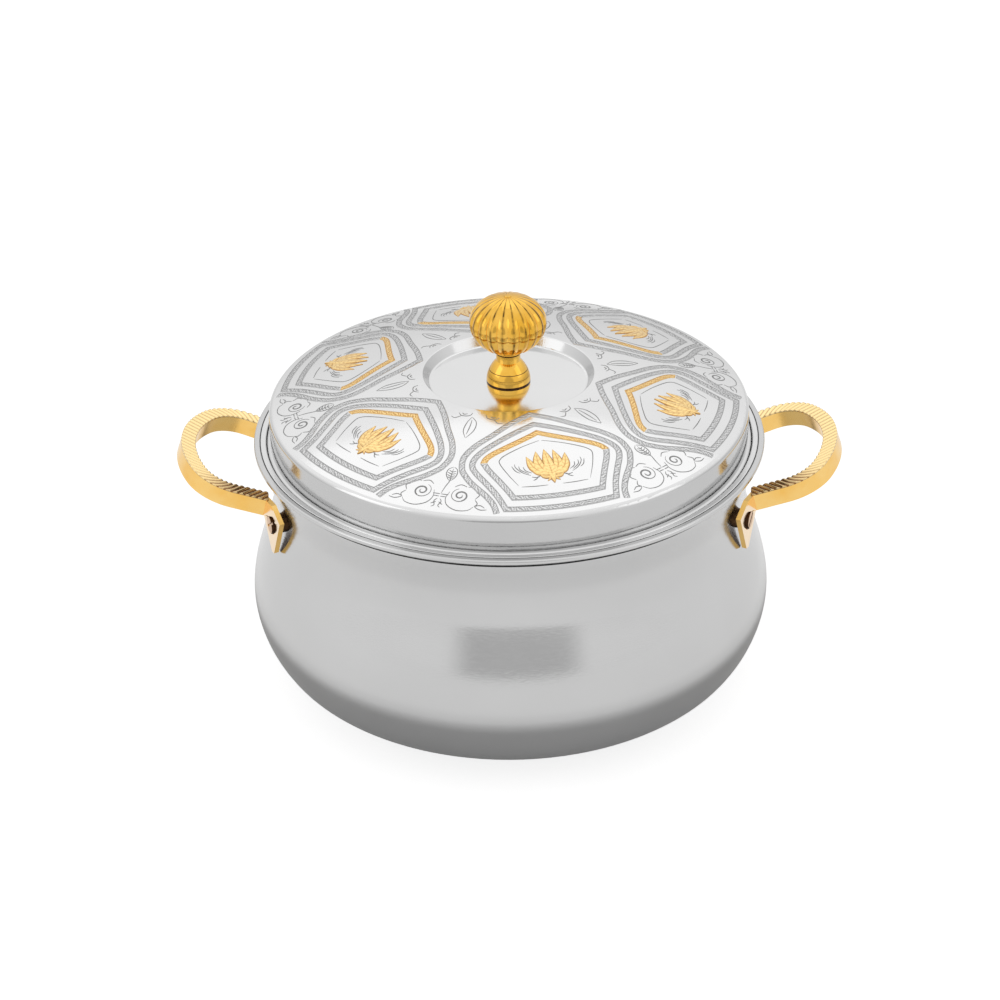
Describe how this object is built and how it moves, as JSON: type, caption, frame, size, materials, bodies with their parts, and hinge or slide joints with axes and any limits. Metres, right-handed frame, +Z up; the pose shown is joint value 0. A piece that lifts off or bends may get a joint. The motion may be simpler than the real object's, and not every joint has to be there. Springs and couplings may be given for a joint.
{
  "type": "insulated serving casserole",
  "caption": "Round insulated steel serving casserole with a bellied double wall, angular gilt loop handles and a lift-off domed lid with a gadrooned ball knob.",
  "frame": {"origin": "centre of the underside, on the surface the pot stands on", "axes": "+Z up along the pot's axis; +X towards one handle, -X towards the other; +Y to the back"},
  "size_m": [0.314, 0.2484, 0.1955],
  "materials": {
    "polished_steel": "polished",
    "inner_steel": "satin",
    "fastener_steel": "satin",
    "gilt_cast": "polished",
    "gilt_screw": "satin",
    "plug": "matte",
    "foam": "matte"
  },
  "bodies": {
    "pot": {"outer_shell": "polished_steel", "inner_bowl": "inner_steel", "body_insulation": "foam", "base_cover": "inner_steel", "filler_plug": "plug", "handle_right": "gilt_cast", "handle_left": "gilt_cast", "handle_spacers_right": "gilt_cast", "handle_spacers_left": "gilt_cast", "handle_screws_right": "gilt_screw", "handle_screws_left": "gilt_screw", "handle_washers_right": "fastener_steel", "handle_washers_left": "fastener_steel", "handle_nuts_right": "fastener_steel", "handle_nuts_left": "fastener_steel"},
    "lid": {"lid_cover": "polished_steel", "lid_liner": "inner_steel", "lid_insulation": "foam", "knob_stem": "gilt_cast", "knob_ball": "gilt_cast", "knob_screw": "fastener_steel", "knob_washer": "fastener_steel"}
  },
  "joints": [
    {"name": "lid_lift", "type": "slide", "parent": "pot", "child": "lid", "axis": [0, 0, 1], "range_m": [0, 0.06]}
  ]
}
